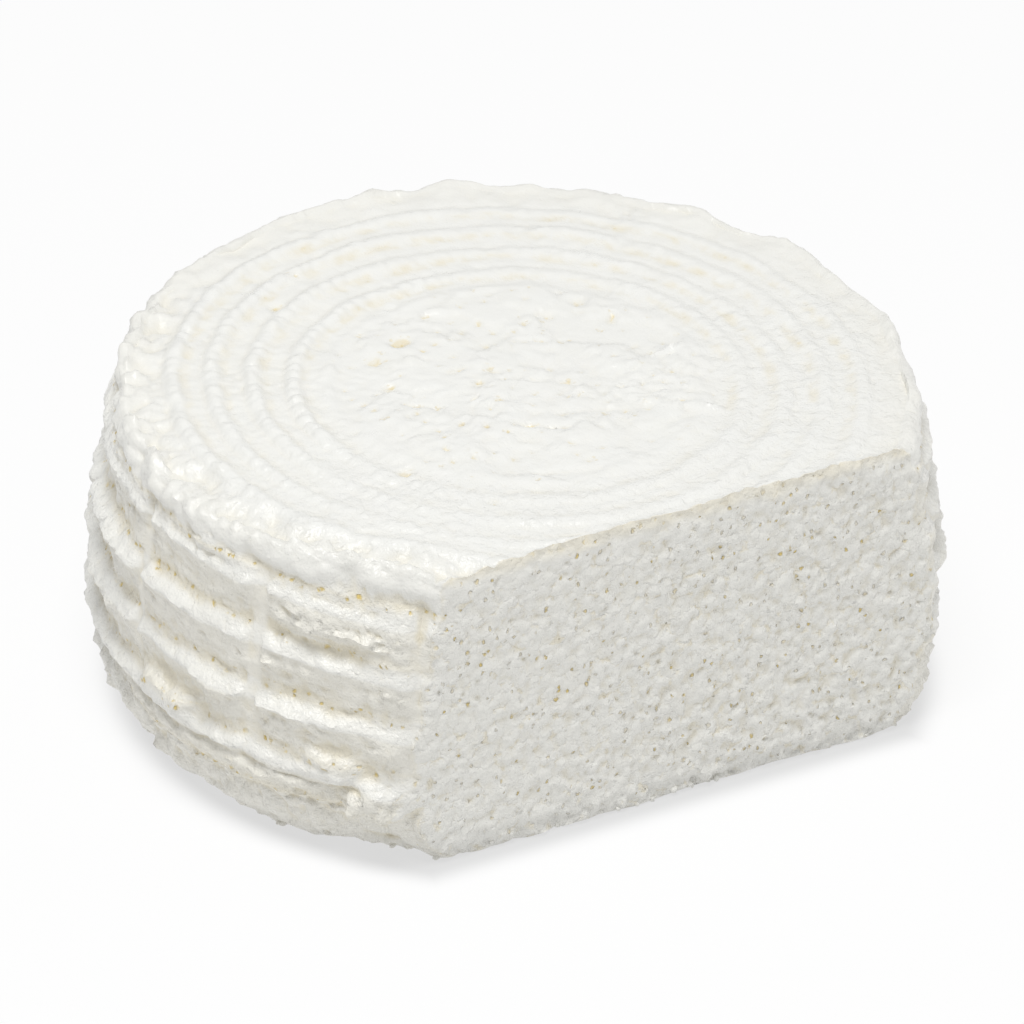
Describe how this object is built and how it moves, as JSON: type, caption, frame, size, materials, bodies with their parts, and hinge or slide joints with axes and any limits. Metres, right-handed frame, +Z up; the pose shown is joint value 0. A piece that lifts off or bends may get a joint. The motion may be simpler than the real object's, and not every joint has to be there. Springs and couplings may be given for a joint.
{
  "type": "panela cheese",
  "caption": "Thick drum of soft white fresh cheese pressed in a basket mould, with ringed top and ledged side, and one straight slice cut off.",
  "frame": {"origin": "middle of the bounding box's footprint, on the plane that the cheese stands on", "axes": "+Z up out of the ringed top, with the cut face looking along -Y"},
  "size_m": [0.2138, 0.1786, 0.0865],
  "materials": {
    "curd": "moist, finely pitted, slightly glossy curd"
  },
  "bodies": {
    "root": {"cheese": "curd"}
  },
  "joints": []
}
